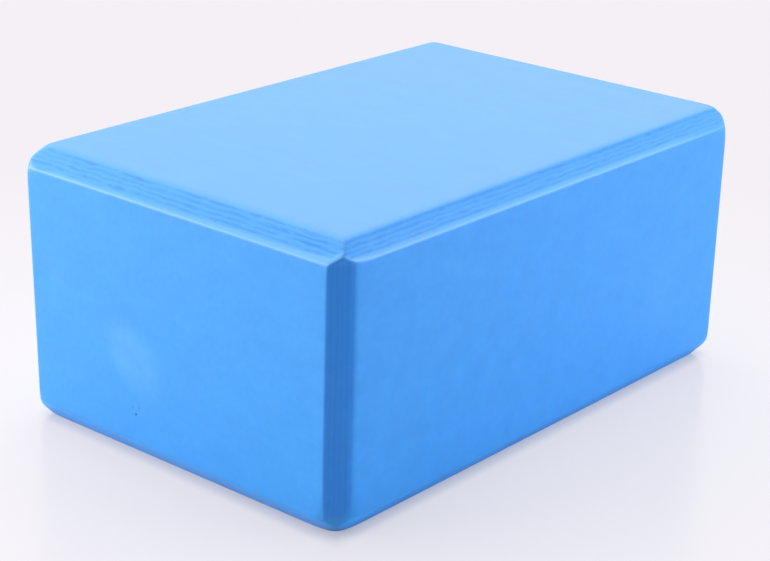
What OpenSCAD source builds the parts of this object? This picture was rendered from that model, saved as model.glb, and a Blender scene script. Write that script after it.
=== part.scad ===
// Yoga block: one piece cut from closed-cell foam, a box with a chamfer along every edge.
// The origin is at the middle of the base, X runs along the length and Z is up.

/* [Block] */
// Length of the block, end face to end face
block_length = 225; // [160:1:300]
// Width of the block, side face to side face
block_width = 151; // [90:1:220]
// Height of the block, base to top
block_height = 102; // [50:1:150]

/* [Chamfers] */
// How far the chamfers around the top and the base reach in from the sides
level_chamfer_run = 6.2; // [5:0.1:12]
// How far the chamfers around the top and the base reach along the height
level_chamfer_drop = 7.2; // [5:0.1:12]
// How far the chamfers of the four upright edges reach on either side
upright_chamfer_leg = 6; // [5:0.1:12]

/* [Arrises] */
// Radius of the soft arris between the top or base and its chamfers
flat_arris_radius = 3; // [0.5:0.1:4]
// Radius of the crisper arris between a side and its chamfers above and below
side_arris_radius = 0.8; // [0.3:0.1:3]
// Radius of both arrises along an upright chamfer
upright_arris_radius = 2; // [0.3:0.1:3]

/* [Cutter lines] */
// Spacing of the fine lines that the chamfer cutter left along every edge
cutter_line_pitch = 2; // [1:0.1:4]
// Width of a cutter line at the surface
cutter_line_width = 0.6; // [0.2:0.1:0.8]
// Depth of a cutter line
cutter_line_depth = 0.15; // [0.05:0.05:0.4]
// Plain strip between a rounded arris and the nearest cutter line
cutter_line_margin = 0.7; // [0.4:0.1:1.5]

/* [Hidden] */
$fn = 64;
// The cutting shapes stand this far out of the stock, so that no two faces coincide
overcut = 2;
// Angle at which the rounding of an arris meets the flat surfaces beside it
arris_crease = 4;

// Distance from an arris to the start of its rounding, where the surface turns by angle
function arris_reach(radius, angle) = radius * tan(angle / 2);

// Unit vector at an angle from +X
function heading(angle) = [cos(angle), sin(angle)];

// Waste outside a rounded arris at the origin. The surface arrives along the heading before, turns left
// and leaves along the heading after, with the stock on its left and the waste on its right.
// The arc is a touch flatter than a tangent one, so that it crosses both surfaces at the arris crease.
module arris_waste(radius, before, after) {
    half_turn = (after - before) / 2;
    half_arc = half_turn - arris_crease;
    reach = arris_reach(radius, 2 * half_turn);
    arc_radius = reach * cos(half_turn) / sin(half_arc);
    past_arc = reach + arc_radius * sin(arris_crease);
    into_stock = heading(before + half_turn + 90);
    difference() {
        polygon([
            -overcut * into_stock,
            past_arc * heading(after),
            -past_arc * heading(before)
        ]);
        translate((reach * sin(half_turn) + arc_radius * cos(half_arc)) * into_stock)
            circle(r = arc_radius);
    }
}

// Waste of the V-shaped cutter lines. The surface is the X axis, with the stock below it.
module line_waste(count) {
    for (line = [0:count - 1])
        translate([line * cutter_line_pitch, 0])
            polygon([
                [0, -cutter_line_depth],
                [cutter_line_width, cutter_line_depth],
                [-cutter_line_width, cutter_line_depth]
            ]);
}

// Waste of one edge in section. The stock's own edge is at the origin and the stock lies towards +X and +Y.
// The chamfer runs from [run, 0] to [0, rise], and each of its ends has the radius named after it.
module edge_waste(run, rise, run_radius, rise_radius) {
    slope = atan2(rise, run);
    run_plain = arris_reach(run_radius, slope) + cutter_line_margin;
    rise_plain = arris_reach(rise_radius, 90 - slope) + cutter_line_margin;
    lined_width = norm([run, rise]) - run_plain - rise_plain;
    line_gaps = floor(lined_width / cutter_line_pitch);
    first_line = run_plain + (lined_width - line_gaps * cutter_line_pitch) / 2;
    polygon([
        [-overcut, -overcut],
        [run + overcut * run / rise, -overcut],
        [-overcut, rise + overcut * rise / run]
    ]);
    translate([run, 0])
        arris_waste(run_radius, -slope, 0);
    translate([0, rise])
        arris_waste(rise_radius, -90, -slope);
    translate([run, 0])
        rotate(180 - slope)
            translate([first_line, 0])
                line_waste(line_gaps + 1);
}

// Waste of one level edge, along +Z, for an edge of the given length that is centred on the origin
module level_edge_waste(length) {
    linear_extrude(length + 2 * overcut, center = true)
        edge_waste(level_chamfer_run, level_chamfer_drop, flat_arris_radius, side_arris_radius);
}

// Waste of one upright edge, along +Z and centred on the origin
module upright_edge_waste() {
    linear_extrude(block_height + 2 * overcut, center = true)
        edge_waste(
            upright_chamfer_leg, upright_chamfer_leg, upright_arris_radius, upright_arris_radius
        );
}

// The children and their mirror images across the two middle planes that the axes are square to
module mirrored_twice(first_axis, second_axis) {
    for (first = [0, 1], second = [0, 1])
        mirror(first * first_axis)
            mirror(second * second_axis)
                children();
}

// The whole block, cut from a plain cuboid of stock that is centred and then stood on its base
module foam_block() {
    color("#4aa3f3")
        translate([0, 0, block_height / 2])
            difference() {
                cube([block_length, block_width, block_height], center = true);
                mirrored_twice([0, 1, 0], [0, 0, 1])
                    translate([0, -block_width / 2, -block_height / 2])
                        rotate([90, 0, 90])
                            level_edge_waste(block_length);
                mirrored_twice([1, 0, 0], [0, 0, 1])
                    translate([-block_length / 2, 0, -block_height / 2])
                        rotate([90, 0, 0])
                            level_edge_waste(block_width);
                mirrored_twice([1, 0, 0], [0, 1, 0])
                    translate([-block_length / 2, -block_width / 2, 0])
                        upright_edge_waste();
            }
}

foam_block();
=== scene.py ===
"""A yoga block cut from sky-blue EVA foam, on a pale studio floor.

The block is one surface: the place where a softened distance to its flat faces and chamfers is zero.
Its chamfers were cut by hand, so their reach and softness differ from edge to edge.
Lengths of the block are in millimetres here and become metres when the mesh is made.
The near end is the one at -x, the near side the one at -y, and the near corner lies between them at the top.
"""
import math
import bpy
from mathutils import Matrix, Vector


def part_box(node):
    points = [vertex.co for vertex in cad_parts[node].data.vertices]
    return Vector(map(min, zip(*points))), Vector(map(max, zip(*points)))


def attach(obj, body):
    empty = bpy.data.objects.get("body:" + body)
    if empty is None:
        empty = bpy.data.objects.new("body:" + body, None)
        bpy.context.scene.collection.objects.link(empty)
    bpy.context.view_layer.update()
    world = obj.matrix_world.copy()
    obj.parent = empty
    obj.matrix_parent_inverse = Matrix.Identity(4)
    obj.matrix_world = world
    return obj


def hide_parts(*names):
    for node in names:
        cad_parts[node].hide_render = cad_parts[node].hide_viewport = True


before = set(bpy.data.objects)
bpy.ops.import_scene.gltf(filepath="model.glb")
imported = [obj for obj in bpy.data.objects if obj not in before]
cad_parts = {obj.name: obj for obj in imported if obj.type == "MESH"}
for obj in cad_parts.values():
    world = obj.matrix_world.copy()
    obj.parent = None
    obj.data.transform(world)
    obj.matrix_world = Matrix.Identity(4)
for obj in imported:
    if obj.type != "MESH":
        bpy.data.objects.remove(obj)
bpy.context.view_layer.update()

from types import SimpleNamespace

import bpy
import numpy as np
from mathutils import Matrix, Vector

MM = 0.001

# Block, read from the frame
BLOCK_LOW, BLOCK_HIGH = (np.array(corner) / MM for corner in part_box("foam_block"))
BLOCK_MIDDLE = (BLOCK_LOW + BLOCK_HIGH) / 2
BLOCK_HALF = (BLOCK_HIGH - BLOCK_LOW) / 2

# Level chamfers: how far they reach in, first at the base and then at the top
# The ends go by the sign of x, each with its reach at -y and at +y
END_RUNS = np.array([[[6.5, 5.4], [6.2, 6.2]], [[7.1, 7.2], [5.1, 5.1]]])
# The sides go by the sign of y, each with its reach at -x and at +x
SIDE_RUNS = np.array([[[5.7, 5.8], [6.2, 6.2]], [[5.0, 5.3], [5.4, 5.8]]])
# How far all of them reach along the height
LEVEL_DROP = 7.2

# Upright chamfers: how far they reach along x and along y
# They go by the signs of x and of y, each with its reach at the base and at the top
X_LEGS = np.array([[[7.2, 7.2], [6.0, 6.0]], [[5.3, 4.7], [6.0, 6.0]]])
Y_LEGS = np.array([[[6.0, 5.7], [7.0, 4.2]], [[6.0, 6.0], [6.0, 6.0]]])

# Softness of the arrises, about a seventh of the width that each one is rounded over
# The arris of the flat faces has one value at the base and one at the top
FLAT_SOFTNESS = np.array([0.2, 0.66])
END_SOFTNESS = 0.25
SIDE_SOFTNESS = 0.55
RIM_SOFTNESS = 0.2

# Softness of the mitres, and of the rim at the corners, first at the base and then at the top
# Both go by the signs of x and then of y
MITRE_SOFTNESS = np.array([[[2.4, 0.9], [1.0, 1.0]], [[0.4, 1.0], [1.2, 0.8]]])
CORNER_SOFTNESS = np.array([[[1.4, 0.6], [0.8, 0.8]], [[0.5, 0.8], [1.2, 0.8]]])
# Distances to the upright chamfer over which the rim takes on its corner's softness
CORNER_SPAN = (-4, 0)

# Above the rim the upright chamfer of the near corner runs out of the block
# It does so by a share of its rise, after a soft start and up to about a limit
RUN_OUT = 0.48
RUN_OUT_SOFTNESS = 0.4
RUN_OUT_LIMIT = 4.5
# There the side's chamfer stands proud along its rim, and settles along the edge and up the chamfer
PROUD = 0.45
PROUD_ALONG = (6, 16)
PROUD_UP = (0, 5)

# Lip along the lower rim of the top chamfers: a slight rise on the ends, and a painted highlight in the
# colour all along it
# How far in it reaches on the ends, from their far part to the near corner, and on the sides
FAR_LIP = 1.8
NEAR_LIP = 2.3
CORNER_LIP = 3.2
SIDE_LIP = 1.7
# Share of its reach over which the lip is full, and its rise over the end's chamfer as a share of its reach
LIP_CREST = 0.45
LIP_RISE = 0.05
# Its strength, which sets its painted highlight, at the far part of the ends and on the sides, and what the
# sides lose of it where it fades
FAR_LIP_STRENGTH = 0.75
SIDE_LIP_STRENGTH = 0.95
SIDE_LIP_LOSS = 0.6
# Stretches of an edge, from its middle: towards the near corner, at that corner, and away from it
NEARING = (-40, 70)
FLARE = (60, 72)
END_LIP_FADE = (54, 70)
SIDE_LIP_FADE = (60, 105)

# Cutter lines on each kind of chamfer: their pitch, and the length over which one comes and goes
END_LINES = {"pitch": 1.85, "length": 7.0}
SIDE_LINES = {"pitch": 1.6, "length": 5.0}
UPRIGHT_LINES = {"pitch": 1.7, "length": 30.0}
# Their strength at the far part of the ends, on the sides and on the upright chamfers
# Along a line it drops to a least share
FAR_LINE_STRENGTH = 0.8
SIDE_LINE_STRENGTH = 0.65
UPRIGHT_LINE_STRENGTH = 0.4
LEAST_LINE_STRENGTH = 0.55
# Depth of a line, start of the lines below the flat face's edge, and the stretch over which they set in
LINE_DEPTH = 0.06
FIRST_LINE = 0.6
LINES_SET_IN = (-0.1, 0.6)
# Width and waver of a line as shares of the pitch, and the length of a waver as a share of the line's
LINE_WIDTH = 0.28
WAVER = 0.5
WAVER_LENGTH = 0.7
# Chance values at which a line is at its least and at its full strength
LINE_CHANCES = (0.1, 0.8)

# Painted shade along the mitre of the near corner, as in a crease there: its place beside the mitre, width
# and strength
MITRE_SHADE_PLACE = 0.4
MITRE_SHADE_WIDTH = 0.35
MITRE_SHADE_STRENGTH = 0.4
# Stretches over which it sets in below the top and above the rim
MITRE_SHADE_TOP = (0.5, 3.0)
MITRE_SHADE_RIM = (0.2, 1.5)

# Chance values, and the strides through them for a step of a lattice and for a key
CHANCES = np.random.default_rng(5).random(4096)
U_STRIDE = 57
V_STRIDE = 131
KEY_STRIDE = 1013
# Keys of the chance patterns, and the spacing of the keys of opposite edges
END_KEY = 0
SIDE_KEY = 2
UPRIGHT_KEY = 4
EDGE_KEYS = 8
WAVER_KEY = 30
SMUDGE_KEY = 40

# Depths under a face over which the marks on it set in
MARK_SKIN = np.array([3.0, 1.0])

# Marks on the near end, as y and height
# A smudge with its half axes, its tilt and its soft edge, which is in shares of the axes
SMUDGE = (18.4, 37.7)
SMUDGE_AXES = (17.0, 11.0)
SMUDGE_TILT = 52.0
SMUDGE_EDGE = (0.45, 1.2)
# The smudge is patchy: the size of its patches, their least strength and how much chance adds
SMUDGE_PATCH = 5
SMUDGE_LEAST = 0.7
SMUDGE_CHANCE = 0.6
# A pale spot, a pit and two flecks beside it; the pit and the flecks are shallow dents, darkened in the
# colour with painted shade
PALE_SPOT = (57.8, 57.5)
PALE_SPOT_SIZE = (3.0, 3.0)
PALE_SPOT_STRENGTH = 0.6
PIT = (17.5, 17.4)
PIT_SIZE = (0.35, 0.5)
PIT_DEPTH = 0.5
FLECKS = ((18.9, 19.8), (15.9, 20.3))
FLECK_SIZE = (0.25, 0.7)
FLECK_STRENGTH = 0.4

# Marks on the near side, as x and height: a scuff from one point to another, and a paler patch
SCUFF = ((-61.0, 84.1), (-43.2, 74.8))
SCUFF_WIDTH = 1.8
SCUFF_STRENGTH = 0.2
PATCH = (68.7, 39.9)
PATCH_SIZE = (12.0, 14.0)
PATCH_STRENGTH = 0.35

# Painted light on the chamfers: the least paleness of the top ones on the ends and on the sides, standing in
# for the light they catch from above
END_PALENESS = 0.4
SIDE_PALENESS = 0.5
# Distances over which they blend in at the flat faces, at the rim and at the upright chamfers
FLAT_BLEND = (-1.2, 1.2)
RIM_BLEND = (-0.1, 0.2)
UPRIGHT_BLEND = (-0.6, -0.1)
# Heights over which the base chamfers take on painted light, standing in for light bounced from the floor;
# it is gone at the contact, which stays darker as painted shade
FLOOR_LIGHT_HEIGHTS = (1.0, 6.0)

# Mesh spacing
ALONG_STEP = 1.9
SIDE_STEP = 2.0
CHAMFER_STEP = 0.25
BASE_CHAMFER_STEP = 0.45
PIT_STEP = 0.25
PIT_REACH = 3.0
UPRIGHT_COLUMNS = 28
BASE_RINGS = 8
TOP_RINGS = 16
MEAN_REACH = 6.0
LEAST_CORNER_CUT = 0.6
BESIDE_ARRIS = np.array([0.0, 0.3, 0.6, 1.0, 1.6, 2.5, 4.0])
# The near end's place among the four long edges of the outline, which start with the near side
NEAR_END_EDGE = 3
# Settling of the mesh onto the surface: the step of the slope, and the rounds
SLOPE_STEP = 1.2
SETTLE_ROUNDS = 14

# Sizes of the foam's patterns along x, y and z
CLOUD_SIZE = (8, 16, 8)
DASH_SIZE = (3.5, 3.5, 0.6)
STREAK_SIZE = (1.6, 38, 38)
MOTTLE_SIZE = (2.4, 2.4, 2.4)
# Real cells are a few tenths of a millimetre, too fine to show, so they are drawn coarser
CELL_SIZE = (0.9, 0.9, 0.9)
CELL_DEPTH = 0.05
# Depths under the top over which the saw's streaks set in, and their share of the mottling there
STREAK_SKIN = (2.0, 0.2)
STREAK_SHARE = 0.5
# Values of the mottling between which the foam pales, and by how much
MOTTLE_RANGE = (0.3, 0.7)
MOTTLE_PALENESS = 0.05
# Values of the dashes between which the colour of a cutter line sets in
DASH_RANGE = (0.28, 0.5)

# Floor, in metres: the backdrop's colour shows through it by a share that grows away from the block's middle
BACKDROP = "#f5f0f6"
GLOW_SPAN = (0.14, 0.32)
NEAR_GLOW = 0.67
# The share drops where the block touches the floor, counted from its footprint outwards
CONTACT_SPAN = (-0.006, 0.008)
CONTACT_GLOW = 0.34
# In reflections the share grows from nothing
REFLECTED_SPAN = (0.14, 0.9)
FLOOR_HALF = 4.0

# Camera, with its place in metres, its turns in degrees and its lens in millimetres
CAMERA_PLACE = (-0.5392, -0.4538, 0.3079)
CAMERA_HEADING = 49.78
CAMERA_PITCH = -20.745
CAMERA_ROLL = 1.505
CAMERA_LENS = 94.06
SENSOR_WIDTH = 36


def soft_max(softness, *fields):
    """The largest of some fields, with each crease between two of them rounded by the softness.

    It is the softness times the logarithm of the sum of the exponentials of the fields over the softness.
    """
    stack = np.stack(np.broadcast_arrays(*fields))
    largest = stack.max(axis=0)
    return largest + softness * np.log(np.exp((stack - largest) / softness).sum(axis=0))


def ramp(value, start, stop):
    """0 before start and 1 after stop, with a smooth cubic between them."""
    share = np.clip((value - start) / (stop - start), 0, 1)
    return share * share * (3 - 2 * share)


def between(pairs, share):
    """The value at a share of the way from the first of each pair to the second."""
    return pairs[..., 0] * (1 - share) + pairs[..., 1] * share


def grain(u, v, key):
    """Chance values from 0 to 1 at the points of a unit lattice, blended smoothly between them."""
    cell_u, cell_v = np.floor(u), np.floor(v)
    share_u, share_v = ramp(u - cell_u, 0, 1), ramp(v - cell_v, 0, 1)
    first = cell_u * U_STRIDE + cell_v * V_STRIDE + key * KEY_STRIDE
    corners = [
        CHANCES[(first + i * U_STRIDE + j * V_STRIDE).astype(int) % len(CHANCES)]
        for j in (0, 1) for i in (0, 1)
    ]
    low = corners[0] * (1 - share_u) + corners[1] * share_u
    high = corners[2] * (1 - share_u) + corners[3] * share_u
    return low * (1 - share_v) + high * share_v


def cutter_lines(across, along, key, pitch, length):
    """Strength of the cutter's lines at a point of a chamfer, from its place across and along the edge.

    The lines are Gauss humps a pitch apart. Chance values make each one waver, come and go over a length.
    """
    waver = WAVER * (grain(along / (WAVER_LENGTH * length), across / pitch, key + WAVER_KEY) - 0.5)
    place = across / pitch + waver
    line = np.floor(place)
    hump = np.exp(-(((place - line - 0.5) / LINE_WIDTH) ** 2))
    presence = ramp(grain(along / length, line, key), *LINE_CHANCES)
    strength = LEAST_LINE_STRENGTH + (1 - LEAST_LINE_STRENGTH) * presence
    return hump * ramp(across, *LINES_SET_IN) * strength


def spot(u, v, middle, size):
    """A Gauss hump on a plane."""
    return np.exp(-(((u - middle[0]) / size[0]) ** 2) - ((v - middle[1]) / size[1]) ** 2)


def streak(u, v, start, stop, width):
    """A soft line on a plane: a Gauss hump of the distance to the stretch from start to stop."""
    way_u, way_v = stop[0] - start[0], stop[1] - start[1]
    along = (u - start[0]) * way_u + (v - start[1]) * way_v
    share = np.clip(along / (way_u ** 2 + way_v ** 2), 0, 1)
    distance = np.hypot(u - start[0] - share * way_u, v - start[1] - share * way_v)
    return np.exp(-((distance / width) ** 2))


def chamfer(first, second, first_reach, second_reach):
    """Distance to the plane that cuts off the edge of two faces, from the distances to those faces."""
    cut = first * second_reach + second * first_reach + first_reach * second_reach
    return cut / np.hypot(first_reach, second_reach)


def across_chamfer(first, second, first_reach, second_reach):
    """Place across such a chamfer, in millimetres from its edge on the second face."""
    way = (first + first_reach) * first_reach - second * second_reach
    return way / np.hypot(first_reach, second_reach)


def block_parts(points):
    """Where points lie on the block, with their signed distances to its faces and chamfers in millimetres.

    A distance is negative inside. A sign is 0 before the block's middle along an axis and 1 after it.
    The reach of a chamfer changes evenly along its edge.
    """
    p = SimpleNamespace()
    p.x, p.y, p.z = np.moveaxis(points - BLOCK_MIDDLE, -1, 0)
    axes = (p.x, p.y, p.z)
    p.end, p.side, p.flat = (np.abs(axis) - half for axis, half in zip(axes, BLOCK_HALF))
    p.x_sign, p.y_sign, p.z_sign = ((axis > 0).astype(int) for axis in axes)
    x_share, y_share, upness = (axis / (2 * half) + 0.5 for axis, half in zip(axes, BLOCK_HALF))
    p.x_leg = between(X_LEGS[p.x_sign, p.y_sign], upness)
    p.y_leg = between(Y_LEGS[p.x_sign, p.y_sign], upness)
    p.end_run = between(END_RUNS[p.z_sign, p.x_sign], y_share)
    p.side_run = between(SIDE_RUNS[p.z_sign, p.y_sign], x_share)
    p.near_corner = p.z_sign * (1 - p.x_sign) * (1 - p.y_sign)
    p.nearness = ramp(-p.y, *NEARING)

    above_rim = p.flat + LEVEL_DROP
    rise = np.logaddexp(0, above_rim / RUN_OUT_SOFTNESS) * RUN_OUT_SOFTNESS
    rise = RUN_OUT_LIMIT * np.tanh(rise / RUN_OUT_LIMIT)
    proud = PROUD * p.near_corner * (1 - ramp(-p.end, *PROUD_ALONG)) * (1 - ramp(above_rim, *PROUD_UP))
    p.upright = chamfer(p.end, p.side, p.x_leg, p.y_leg) - RUN_OUT * p.near_corner * rise
    p.end_bevel = chamfer(p.end, p.flat, p.end_run, LEVEL_DROP)
    p.side_bevel = chamfer(p.side, p.flat, p.side_run, LEVEL_DROP) - proud
    p.on_end = p.end_bevel > p.side_bevel
    p.inward = -np.maximum(np.maximum(p.end, p.side), p.upright)
    return p


def add_lip(p):
    """The lip from 0 to 1, full from the rim to its crest and gone at its reach; it sets the painted
    highlight along the rim.

    Beside it the end's chamfer sinks by the lip's rise.
    """
    end_reach = FAR_LIP + (NEAR_LIP - FAR_LIP) * p.nearness + (CORNER_LIP - NEAR_LIP) * ramp(-p.y, *FLARE)
    end_strength = FAR_LIP_STRENGTH + (1 - FAR_LIP_STRENGTH) * p.nearness
    end_strength *= 1 - ramp(p.y, *END_LIP_FADE)
    end_lip = p.z_sign * (1 - ramp(p.inward, LIP_CREST * end_reach, end_reach))
    side_strength = SIDE_LIP_STRENGTH * (1 - SIDE_LIP_LOSS * ramp(p.x, *SIDE_LIP_FADE))
    side_lip = p.z_sign * (1 - ramp(p.inward, LIP_CREST * SIDE_LIP, SIDE_LIP))
    p.lip = np.where(p.on_end, end_strength * end_lip, side_strength * side_lip)
    p.end_sink = LIP_RISE * end_reach * (p.z_sign - end_lip)


def add_lines(p):
    """The cutter's lines from 0 to 1 on each kind of chamfer, and the painted shade of a crease along the
    near corner's mitre.
    """
    across = across_chamfer(p.end, p.flat, p.end_run, LEVEL_DROP) - FIRST_LINE
    key = END_KEY + EDGE_KEYS * p.x_sign + p.z_sign
    strength = FAR_LINE_STRENGTH + (1 - FAR_LINE_STRENGTH) * p.nearness
    p.end_lines = strength * cutter_lines(across, p.y, key, **END_LINES)

    across = across_chamfer(p.side, p.flat, p.side_run, LEVEL_DROP) - FIRST_LINE
    key = SIDE_KEY + EDGE_KEYS * p.y_sign + p.z_sign
    p.side_lines = SIDE_LINE_STRENGTH * cutter_lines(across, p.x, key, **SIDE_LINES)

    across = across_chamfer(p.end, p.side, p.x_leg, p.y_leg)
    key = UPRIGHT_KEY + EDGE_KEYS * p.x_sign + p.y_sign
    p.upright_lines = UPRIGHT_LINE_STRENGTH * cutter_lines(across, p.z, key, **UPRIGHT_LINES)

    beside_mitre = p.side_bevel - p.end_bevel
    line = np.exp(-(((beside_mitre - MITRE_SHADE_PLACE) / MITRE_SHADE_WIDTH) ** 2))
    p.mitre_line = p.near_corner * line * ramp(-p.flat, *MITRE_SHADE_TOP) * ramp(p.inward, *MITRE_SHADE_RIM)


def add_marks(p):
    """The marks of use from 0 to about 1 on the near end and the near side; the pit and its flecks are
    darkened with painted shade.
    """
    height = p.z + BLOCK_HALF[2]
    near_end = ramp(-p.x, *(BLOCK_HALF[0] - MARK_SKIN))
    near_side = ramp(-p.y, *(BLOCK_HALF[1] - MARK_SKIN))
    flecks = [FLECK_STRENGTH * spot(p.y, height, fleck, FLECK_SIZE) for fleck in FLECKS]
    p.pit = near_end * np.maximum.reduce([spot(p.y, height, PIT, PIT_SIZE), *flecks])

    turn = math.radians(SMUDGE_TILT)
    smudge_y, smudge_z = p.y - SMUDGE[0], height - SMUDGE[1]
    long_share = (smudge_y * math.sin(turn) + smudge_z * math.cos(turn)) / SMUDGE_AXES[0]
    wide_share = (smudge_y * math.cos(turn) - smudge_z * math.sin(turn)) / SMUDGE_AXES[1]
    patches = grain(p.y / SMUDGE_PATCH, height / SMUDGE_PATCH, SMUDGE_KEY)
    smudge = SMUDGE_LEAST + SMUDGE_CHANCE * patches
    smudge *= 1 - ramp(np.hypot(long_share, wide_share), *SMUDGE_EDGE)
    pale_spot = PALE_SPOT_STRENGTH * spot(p.y, height, PALE_SPOT, PALE_SPOT_SIZE)
    scuff = SCUFF_STRENGTH * streak(p.x, height, *SCUFF, SCUFF_WIDTH)
    patch = PATCH_STRENGTH * spot(p.x, height, PATCH, PATCH_SIZE)
    p.smudge = near_end * (smudge + pale_spot) + near_side * (scuff + patch)


def foam_parts(points):
    """All that the foam's surface and its colours are made from, at some points."""
    p = block_parts(points)
    add_lip(p)
    add_lines(p)
    add_marks(p)
    return p


def foam_field(points):
    """Signed distance to the foam's surface: the soft largest of the faces and chamfers with their marks."""
    p = foam_parts(points)
    off_lip = LINE_DEPTH * (1 - p.lip)
    end_bevel = p.end_bevel + p.end_sink + off_lip * p.end_lines
    side_bevel = p.side_bevel + off_lip * p.side_lines
    upright = p.upright + LINE_DEPTH * p.upright_lines
    end = p.end + PIT_DEPTH * p.pit
    walls = soft_max(END_SOFTNESS, end, soft_max(SIDE_SOFTNESS, p.side, upright))
    bevels = soft_max(MITRE_SOFTNESS[p.z_sign, p.x_sign, p.y_sign], end_bevel, side_bevel)
    caps = soft_max(FLAT_SOFTNESS[p.z_sign], p.flat, bevels)
    corner_softness = CORNER_SOFTNESS[p.z_sign, p.x_sign, p.y_sign]
    cornerness = ramp(p.upright, *CORNER_SPAN)
    return soft_max(RIM_SOFTNESS + (corner_softness - RIM_SOFTNESS) * cornerness, walls, caps)


def even_steps(start, stop, step):
    """Evenly spaced values from start to stop, about a step apart."""
    return np.linspace(start, stop, math.ceil(abs(stop - start) / step) + 1)


def ring_rows():
    """Inset share, height and shrink of each ring, from the middle of the base to the middle of the top.

    The inset share is 0 at the sides and 1 at the inner edge of a level chamfer.
    """
    height = 2 * BLOCK_HALF[2]
    base_shrink = np.linspace(0, 1, BASE_RINGS + 1)[1:-1]
    top_shrink = np.linspace(0, 1, TOP_RINGS + 1)[1:-1]
    slope = math.hypot(MEAN_REACH, LEVEL_DROP)
    base_across = even_steps(0, 1, BASE_CHAMFER_STEP / slope)
    top_across = even_steps(0, 1, CHAMFER_STEP / slope)
    flat_inset = 1 + BESIDE_ARRIS[:0:-1] / MEAN_REACH
    low = LEVEL_DROP + BESIDE_ARRIS[1:]
    sides = even_steps(low[-1], height - low[-1], SIDE_STEP)[1:-1]
    sides = np.union1d(sides, even_steps(PIT[1] - PIT_REACH / 2, PIT[1] + PIT_REACH, PIT_STEP))
    far = flat_inset[0]
    rows = [
        (np.full_like(base_shrink, far), np.zeros_like(base_shrink), base_shrink),
        (flat_inset, np.zeros_like(flat_inset), np.ones_like(flat_inset)),
        (1 - base_across, LEVEL_DROP * base_across, np.ones_like(base_across)),
        (np.zeros_like(low), low, np.ones_like(low)),
        (np.zeros_like(sides), sides, np.ones_like(sides)),
        (np.zeros_like(low), height - low[::-1], np.ones_like(low)),
        (top_across, height - LEVEL_DROP * (1 - top_across), np.ones_like(top_across)),
        (flat_inset[::-1], np.full_like(flat_inset, height), np.ones_like(flat_inset)),
        (np.full_like(top_shrink, far), np.full_like(top_shrink, height), top_shrink[::-1]),
    ]
    return (np.concatenate(column) for column in zip(*rows))


def outline_columns():
    """For each column, the edge of the eight-sided outline that it lies on and its share along that edge."""
    edges, shares = [], []
    for long_edge in range(4):
        length = 2 * (BLOCK_HALF[long_edge % 2] - MEAN_REACH)
        even = even_steps(BESIDE_ARRIS[-1], length - BESIDE_ARRIS[-1], ALONG_STEP)
        along = np.concatenate([BESIDE_ARRIS[:-1], even, length - BESIDE_ARRIS[-2:0:-1]])
        if long_edge == NEAR_END_EDGE:
            pit = length / 2 - PIT[0]
            along = np.union1d(along, even_steps(pit - PIT_REACH, pit + PIT_REACH, PIT_STEP))
        across = np.arange(UPRIGHT_COLUMNS) / UPRIGHT_COLUMNS
        edges += [np.full(len(along), 2 * long_edge), np.full(len(across), 2 * long_edge + 1)]
        shares += [along / length, across]
    return np.concatenate(edges), np.concatenate(shares)


def corner_points(x_sign, y_sign, inset, level, upness):
    """Where the edges of an upright chamfer cross each ring: first on the side, then on the end."""
    end_run, side_run = END_RUNS[level, x_sign, y_sign], SIDE_RUNS[level, y_sign, x_sign]
    x_leg, y_leg = between(X_LEGS[x_sign, y_sign], upness), between(Y_LEGS[x_sign, y_sign], upness)
    spare = x_leg * y_leg - (x_leg * side_run + y_leg * end_run) * inset
    x_cut = np.maximum(spare / y_leg, LEAST_CORNER_CUT)
    y_cut = np.maximum(spare / x_leg, LEAST_CORNER_CUT)
    ring_x, ring_y = BLOCK_HALF[0] - end_run * inset, BLOCK_HALF[1] - side_run * inset
    x_way, y_way = 2 * x_sign - 1, 2 * y_sign - 1
    on_side = np.stack([x_way * (ring_x - x_cut), y_way * ring_y], axis=-1)
    on_end = np.stack([x_way * ring_x, y_way * (ring_y - y_cut)], axis=-1)
    return on_side, on_end


def seed_points():
    """Grid of points on the sharp-edged block: rings with cut corners, one for each row."""
    inset, height, shrink = ring_rows()
    edge, share = outline_columns()
    level = (height > BLOCK_HALF[2]).astype(int)
    upness = height / (2 * BLOCK_HALF[2])
    near, left, right, back = (corner_points(x, y, inset, level, upness) for x in (0, 1) for y in (0, 1))
    outline = np.stack([near[0], right[0], right[1], back[1], back[0], left[0], left[1], near[1]], axis=1)
    along = share[:, None]
    rings = outline[:, edge] * (1 - along) + outline[:, (edge + 1) % 8] * along
    heights = np.broadcast_to(height[:, None, None], rings[..., :1].shape)
    grid = np.concatenate([rings * shrink[:, None, None], heights], axis=-1)
    poles = np.array([[0, 0, 0], [0, 0, 2 * BLOCK_HALF[2]]])
    return grid, poles


def field_slope(points):
    """Unit direction in which the foam field grows fastest, from differences over a step each way."""
    slope = np.empty_like(points)
    for axis in range(3):
        shift = np.eye(3)[axis] * SLOPE_STEP
        slope[..., axis] = foam_field(points + shift) - foam_field(points - shift)
    return slope / np.linalg.norm(slope, axis=-1, keepdims=True)


def settle(points):
    """Moves each point along its slope until the foam field is zero there."""
    direction = field_slope(points)
    distance = np.zeros(points.shape[:-1])
    for _ in range(SETTLE_ROUNDS):
        distance -= foam_field(points + distance[..., None] * direction)
    return points + distance[..., None] * direction


def grid_faces(rows, columns):
    """Quads of a grid that closes round its columns, and fans to a pole before and after its rows."""
    index = np.arange(rows * columns).reshape(rows, columns)
    onward = np.roll(index, -1, axis=1)
    quads = np.stack([index[:-1], onward[:-1], onward[1:], index[1:]], axis=-1).reshape(-1, 4)
    first_pole, last_pole = rows * columns, rows * columns + 1
    below = np.stack([np.full(columns, first_pole), onward[0], index[0]], axis=-1)
    above = np.stack([np.full(columns, last_pole), index[-1], onward[-1]], axis=-1)
    return quads.tolist() + below.tolist() + above.tolist()


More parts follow.
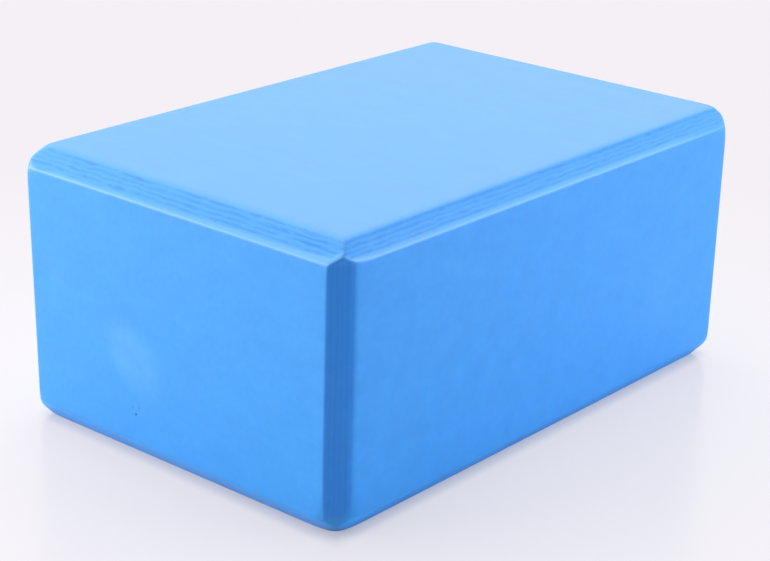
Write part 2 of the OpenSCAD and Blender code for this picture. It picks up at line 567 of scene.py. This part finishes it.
def foam_marks(points):
    """The marks from 0 to about 1 that the foam's colour follows, at points of its surface, painted light
    and painted shade among them.
    """
    p = foam_parts(points)
    bevel = np.maximum(p.end_bevel + p.end_sink, p.side_bevel)
    on_bevel = ramp(bevel - p.flat, *FLAT_BLEND) * ramp(bevel + p.inward, *RIM_BLEND)
    on_upright = ramp(p.upright, *UPRIGHT_BLEND) * (1 - on_bevel)
    at_top = points[:, 2] > BLOCK_MIDDLE[2]
    paleness = np.where(p.on_end, END_PALENESS, SIDE_PALENESS)
    lines = np.where(p.on_end, p.end_lines, p.side_lines) * (1 - p.lip)
    return {
        # painted light: the top chamfers paler as if lit from above, with a painted highlight along their
        # lip
        "painted_top_bevel_light": on_bevel * at_top * np.maximum(p.lip, paleness),
        # painted light on the base chamfers for light bounced from the floor, fading to painted shade at the
        # contact
        "painted_floor_light": on_bevel * ~at_top * ramp(points[:, 2] - BLOCK_LOW[2], *FLOOR_LIGHT_HEIGHTS),
        # painted shade: the upright chamfers, which face away from the lamps, in a deeper tone
        "painted_upright_shade": on_upright,
        # the cutter's lines, and painted shade beside the near corner's mitre
        "cutter_line_and_mitre_shade": np.maximum(lines, MITRE_SHADE_STRENGTH * p.mitre_line) * on_bevel,
        "upright_line": p.upright_lines * on_upright,
        "smudge": p.smudge,
        # the pit and its flecks, darkened with painted shade
        "pit": p.pit,
    }


def foam_mesh():
    """The block's closed surface: a grid on the sharp-edged block, settled to where the foam field is zero.

    The marks that its material reads are attributes of its points.
    """
    grid, poles = seed_points()
    base_middle = [BLOCK_MIDDLE[0], BLOCK_MIDDLE[1], BLOCK_LOW[2]]
    points = settle(np.concatenate([grid.reshape(-1, 3), poles]) + base_middle)
    mesh = bpy.data.meshes.new("foam_block_visual")
    mesh.from_pydata((points * MM).tolist(), [], grid_faces(*grid.shape[:2]))
    mesh.polygons.foreach_set("use_smooth", np.ones(len(mesh.polygons), dtype=bool))
    for name, values in foam_marks(points).items():
        attribute = mesh.attributes.new(name, "FLOAT", "POINT")
        attribute.data.foreach_set("value", values.astype(np.float32))
    mesh.update()
    return mesh


def linear(colour):
    """An sRGB hex colour as linear RGBA."""
    srgb = [int(colour[i:i + 2], 16) / 255 for i in (1, 3, 5)]
    return [c / 12.92 if c <= 0.04045 else ((c + 0.055) / 1.055) ** 2.4 for c in srgb] + [1.0]


def per_metre(size):
    """Scale of a texture whose features are size millimetres across, on Object coordinates in metres."""
    return 1 / (size * MM)


def add(tree, kind, inputs, **settings):
    """Adds a node with its settings; each input is a value or the socket that feeds it.

    A Mix node's inputs go by number: 0 is the share, 2 and 3 are its values, 6 and 7 are its colours.
    Its result is output 0 for values and output 2 for colours.
    """
    node = tree.nodes.new(kind)
    for name, value in settings.items():
        setattr(node, name, value)
    for socket, value in inputs.items():
        if isinstance(value, bpy.types.NodeSocket):
            tree.links.new(value, node.inputs[socket])
        else:
            node.inputs[socket].default_value = value
    return node


def new_material(name):
    """An empty node material, with its tree and its output."""
    material = bpy.data.materials.new(name)
    material.use_nodes = True
    tree = material.node_tree
    tree.nodes.clear()
    return material, tree, tree.nodes.new("ShaderNodeOutputMaterial")


def cut_eva_foam():
    """EVA foam, cut: a matte sky blue all through with a soft sheen, faintly clouded by its closed cells.

    The saw left faint streaks on its top. Painted light makes it brighter on the base chamfers, for light
    from the floor, and paler on the top ones, with a painted highlight along their lip; painted shade makes
    it deeper on the upright ones and dark in the pit. It is darker in the cutter's lines, with painted shade
    beside the near corner's mitre, and hazy where it is smudged.
    """
    material, tree, output = new_material("eva_foam_cut")
    place = add(tree, "ShaderNodeTexCoord", {}).outputs["Object"]
    patterns = []
    for sizes, detail in (
        (CLOUD_SIZE, 3.0), (CELL_SIZE, 2.0), (DASH_SIZE, 2.0), (STREAK_SIZE, 2.0), (MOTTLE_SIZE, 4.0),
    ):
        scaled = add(tree, "ShaderNodeMapping", {
            "Vector": place, "Scale": [per_metre(size) for size in sizes],
        }).outputs["Vector"]
        noise = add(tree, "ShaderNodeTexNoise", {"Vector": scaled, "Scale": 1.0, "Detail": detail})
        patterns.append(noise.outputs["Fac"])
    clouds, cells, dashes, streaks, mottle = patterns

    colour = add(tree, "ShaderNodeMix", {
        0: clouds, 6: linear("#228ce6"), 7: linear("#2c98f2"),
    }, data_type="RGBA").outputs[2]
    height = add(tree, "ShaderNodeSeparateXYZ", {"Vector": place}).outputs["Z"]
    streak_from, streak_to = ((BLOCK_HIGH[2] - depth) * MM for depth in STREAK_SKIN)
    streaked = add(tree, "ShaderNodeMapRange", {
        "Value": height, "From Min": streak_from, "From Max": streak_to,
        "To Min": 0.0, "To Max": STREAK_SHARE,
    }).outputs["Result"]
    fine = add(tree, "ShaderNodeMix", {0: streaked, 2: mottle, 3: streaks}, data_type="FLOAT").outputs[0]
    faded = add(tree, "ShaderNodeMapRange", {
        "Value": fine, "From Min": MOTTLE_RANGE[0], "From Max": MOTTLE_RANGE[1],
        "To Min": 0.0, "To Max": MOTTLE_PALENESS,
    }).outputs["Result"]
    colour = add(tree, "ShaderNodeMix", {
        0: faded, 6: colour, 7: linear("#8cc8fa"),
    }, data_type="RGBA").outputs[2]

    broken = add(tree, "ShaderNodeMapRange", {
        "Value": dashes, "From Min": DASH_RANGE[0], "From Max": DASH_RANGE[1],
        "To Min": 0.0, "To Max": 1.0,
    }).outputs["Result"]
    for mark, share, tone in (
        # painted light on the base chamfers, for light bounced from the floor
        ("painted_floor_light", 1.0, "#20a8ff"),
        # painted shade on the upright chamfers
        ("painted_upright_shade", 0.35, "#0a84ff"),
        ("upright_line", 0.6, "#0f6ed4"),
        # painted light on the top chamfers, and a painted highlight along their lip
        ("painted_top_bevel_light", 1.0, "#64adf2"),
        # the cutter's lines, and painted shade beside the mitre
        ("cutter_line_and_mitre_shade", broken, "#2883e0"),
        ("smudge", 0.07, "#aae6f9"),
        # painted shade in the pit and its flecks
        ("pit", 0.9, "#0c3f7a"),
    ):
        strength = add(tree, "ShaderNodeAttribute", {}, attribute_name=mark).outputs["Fac"]
        weight = add(tree, "ShaderNodeMath", {0: strength, 1: share}, operation="MULTIPLY").outputs[0]
        colour = add(tree, "ShaderNodeMix", {
            0: weight, 6: colour, 7: linear(tone),
        }, data_type="RGBA").outputs[2]

    bump = add(tree, "ShaderNodeBump", {"Height": cells, "Strength": 0.25, "Distance": CELL_DEPTH * MM})
    shader = add(tree, "ShaderNodeBsdfPrincipled", {
        "Base Color": colour, "Roughness": 0.42, "IOR": 1.45, "Sheen Weight": 0.1, "Sheen Roughness": 0.4,
        "Normal": bump.outputs["Normal"],
    })
    tree.links.new(shader.outputs[0], output.inputs["Surface"])
    return material


def foam_block():
    """The whole block, which stands for the plain solid of the frame."""
    block = bpy.data.objects.new("foam_block_visual", foam_mesh())
    bpy.context.collection.objects.link(block)
    block.data.materials.append(cut_eva_foam())
    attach(block, "root")
    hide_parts("foam_block")


def seen_directly(tree):
    """1 for rays that show a surface to the eye, also in a reflection, and 0 for rays that light it."""
    path = add(tree, "ShaderNodeLightPath", {}).outputs
    seen = path["Is Camera Ray"]
    for ray in ("Is Glossy Ray", "Is Transmission Ray"):
        seen = add(tree, "ShaderNodeMath", {0: seen, 1: path[ray]}, operation="MAXIMUM").outputs[0]
    return seen


def white_lacquered_board():
    """White lacquered board: a smooth pale floor with a faint mirror image.

    Part of its light to the eye is the backdrop's colour, so that shadows on it stay faint.
    """
    material, tree, output = new_material("white_lacquered_board")
    place = add(tree, "ShaderNodeTexCoord", {}).outputs["Object"]
    board = add(tree, "ShaderNodeBsdfPrincipled", {
        "Base Color": linear("#d7d9d8"), "Roughness": 0.2, "IOR": 1.45,
    })
    glow = add(tree, "ShaderNodeEmission", {"Color": linear(BACKDROP), "Strength": 1.0})

    distance = add(tree, "ShaderNodeVectorMath", {0: place}, operation="LENGTH").outputs["Value"]
    straight = add(tree, "ShaderNodeMapRange", {
        "Value": distance, "From Min": GLOW_SPAN[0], "From Max": GLOW_SPAN[1],
        "To Min": NEAR_GLOW, "To Max": 1.0,
    }).outputs["Result"]
    apart = add(tree, "ShaderNodeSeparateXYZ", {0: place}).outputs
    beside = []
    for axis in (0, 1):
        away = add(tree, "ShaderNodeMath", {0: apart[axis]}, operation="ABSOLUTE").outputs[0]
        past = add(tree, "ShaderNodeMath", {0: away, 1: BLOCK_HALF[axis] * MM}, operation="SUBTRACT")
        beside.append(past.outputs[0])
    outside = add(tree, "ShaderNodeMath", {0: beside[0], 1: beside[1]}, operation="MAXIMUM").outputs[0]
    contact = add(tree, "ShaderNodeMapRange", {
        "Value": outside, "From Min": CONTACT_SPAN[0], "From Max": CONTACT_SPAN[1],
        "To Min": CONTACT_GLOW, "To Max": 1.0,
    }).outputs["Result"]
    straight = add(tree, "ShaderNodeMath", {0: straight, 1: contact}, operation="MINIMUM").outputs[0]

    reflected = add(tree, "ShaderNodeMapRange", {
        "Value": distance, "From Min": REFLECTED_SPAN[0], "From Max": REFLECTED_SPAN[1],
        "To Min": 0.0, "To Max": 1.0,
    }).outputs["Result"]
    reflected = add(tree, "ShaderNodeMath", {
        0: reflected, 1: seen_directly(tree),
    }, operation="MULTIPLY").outputs[0]
    camera_ray = add(tree, "ShaderNodeLightPath", {}).outputs["Is Camera Ray"]
    share = add(tree, "ShaderNodeMix", {
        0: camera_ray, 2: reflected, 3: straight,
    }, data_type="FLOAT").outputs[0]
    mixed = add(tree, "ShaderNodeMixShader", {0: share, 1: board.outputs[0], 2: glow.outputs[0]})
    tree.links.new(mixed.outputs[0], output.inputs["Surface"])
    return material


def studio_floor():
    """A wide pale floor: one square at height zero."""
    corners = [(x * FLOOR_HALF, y * FLOOR_HALF, 0) for x, y in ((-1, -1), (1, -1), (1, 1), (-1, 1))]
    mesh = bpy.data.meshes.new("studio_floor")
    mesh.from_pydata(corners, [], [(0, 1, 2, 3)])
    mesh.materials.append(white_lacquered_board())
    floor = bpy.data.objects.new("studio_floor", mesh)
    bpy.context.collection.objects.link(floor)


def studio_world():
    """The backdrop's colour to the eye, with no light of its own on the block."""
    world = bpy.data.worlds.new("studio")
    bpy.context.scene.world = world
    world.use_nodes = True
    tree = world.node_tree
    tree.nodes.clear()
    output = tree.nodes.new("ShaderNodeOutputWorld")
    backdrop = add(tree, "ShaderNodeBackground", {
        "Color": linear(BACKDROP), "Strength": seen_directly(tree),
    })
    tree.links.new(backdrop.outputs[0], output.inputs["Surface"])


def softbox(name, colour, azimuth, elevation, distance, size, power):
    """A lamp that faces the block from an azimuth, counted from +X towards +Y, and an elevation.

    Its distance and its size, as width and height, are in metres.
    """
    lamp = bpy.data.lights.new(name, "AREA")
    lamp.shape = "RECTANGLE"
    lamp.size, lamp.size_y = size
    lamp.energy = power
    lamp.color = linear(colour)[:3]
    turn, rise = math.radians(azimuth), math.radians(elevation)
    outward = Vector((math.cos(rise) * math.cos(turn), math.cos(rise) * math.sin(turn), math.sin(rise)))
    holder = bpy.data.objects.new(name, lamp)
    holder.location = Vector(BLOCK_MIDDLE * MM) + distance * outward
    holder.rotation_euler = outward.to_track_quat("Z", "Y").to_euler()
    holder.visible_camera = False
    bpy.context.collection.objects.link(holder)


def studio_lights():
    """Softboxes at the block's left and right, above and behind it, with none on the camera's side."""
    softbox(
        "left_softbox", "#fff7ee", azimuth=135, elevation=13, distance=1.1, size=(1.1, 0.55), power=16.3
    )
    softbox(
        "right_softbox", "#e2f5fb", azimuth=305, elevation=11, distance=1.1, size=(0.8, 0.4), power=10.1
    )
    softbox(
        "top_softbox", "#ffffff", azimuth=45, elevation=84, distance=1.6, size=(1.8, 1.8), power=24.0
    )
    softbox(
        "back_softbox", "#ffffff", azimuth=48, elevation=42, distance=1.6, size=(2.6, 1.4), power=17.5
    )


def photo_camera():
    """The camera, turned from straight ahead by its heading, then its pitch, then its roll."""
    data = bpy.data.cameras.new("camera")
    data.lens = CAMERA_LENS
    data.sensor_width = SENSOR_WIDTH
    camera = bpy.data.objects.new("camera", data)
    camera.matrix_world = (
        Matrix.Translation(CAMERA_PLACE)
        @ Matrix.Rotation(math.radians(-CAMERA_HEADING), 4, "Z")
        @ Matrix.Rotation(math.radians(90 + CAMERA_PITCH), 4, "X")
        @ Matrix.Rotation(math.radians(CAMERA_ROLL), 4, "Z")
    )
    bpy.context.collection.objects.link(camera)
    bpy.context.scene.camera = camera


bpy.context.scene.view_settings.view_transform = "Standard"
photo_camera()
foam_block()
studio_floor()
studio_world()
studio_lights()
